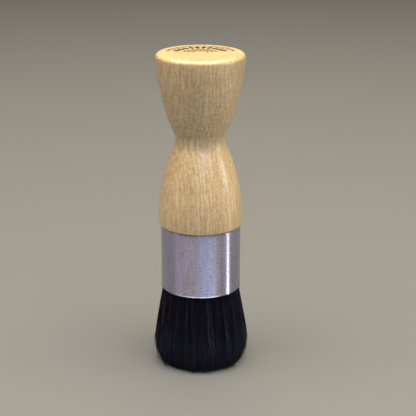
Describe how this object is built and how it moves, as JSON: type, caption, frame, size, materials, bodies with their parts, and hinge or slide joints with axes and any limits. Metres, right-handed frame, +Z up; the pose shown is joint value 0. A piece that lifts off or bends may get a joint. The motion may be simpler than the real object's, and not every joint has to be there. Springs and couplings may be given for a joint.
{
  "type": "neck duster brush",
  "caption": "Short barber's neck duster: turned hourglass wooden handle, plain metal ferrule and a dense flared knot of dark bristles that the brush stands on.",
  "frame": {"origin": "centre of the bristle tips, on the surface that the brush stands on", "axes": "+Z up along the axis of the turned handle, from the bristle tips to the handle's flat end; +X and +Y are any two square directions, because the brush is round"},
  "size_m": [0.03, 0.03, 0.1],
  "materials": {
    "lacquered_wood": "satin",
    "ferrule_metal": "satin",
    "wood_glue": "matte",
    "setting_resin": "gloss",
    "binding_thread": "matte",
    "bristle": "satin"
  },
  "bodies": {
    "root": {"handle": "lacquered_wood", "ferrule": "ferrule_metal", "handle_glue": "wood_glue", "resin_set": "setting_resin", "knot_thread": "binding_thread", "bristle_lock_core": "bristle", "bristle_lock_inner_01": "bristle", "bristle_lock_inner_02": "bristle", "bristle_lock_inner_03": "bristle", "bristle_lock_inner_04": "bristle", "bristle_lock_inner_05": "bristle", "bristle_lock_inner_06": "bristle", "bristle_lock_middle_01": "bristle", "bristle_lock_middle_02": "bristle", "bristle_lock_middle_03": "bristle", "bristle_lock_middle_04": "bristle", "bristle_lock_middle_05": "bristle", "bristle_lock_middle_06": "bristle", "bristle_lock_middle_07": "bristle", "bristle_lock_middle_08": "bristle", "bristle_lock_middle_09": "bristle", "bristle_lock_middle_10": "bristle", "bristle_lock_middle_11": "bristle", "bristle_lock_middle_12": "bristle", "bristle_lock_outer_01": "bristle", "bristle_lock_outer_02": "bristle", "bristle_lock_outer_03": "bristle", "bristle_lock_outer_04": "bristle", "bristle_lock_outer_05": "bristle", "bristle_lock_outer_06": "bristle", "bristle_lock_outer_07": "bristle", "bristle_lock_outer_08": "bristle", "bristle_lock_outer_09": "bristle", "bristle_lock_outer_10": "bristle", "bristle_lock_outer_11": "bristle", "bristle_lock_outer_12": "bristle", "bristle_lock_outer_13": "bristle", "bristle_lock_outer_14": "bristle", "bristle_lock_outer_15": "bristle", "bristle_lock_outer_16": "bristle", "bristle_lock_outer_17": "bristle", "bristle_lock_outer_18": "bristle"}
  },
  "joints": []
}
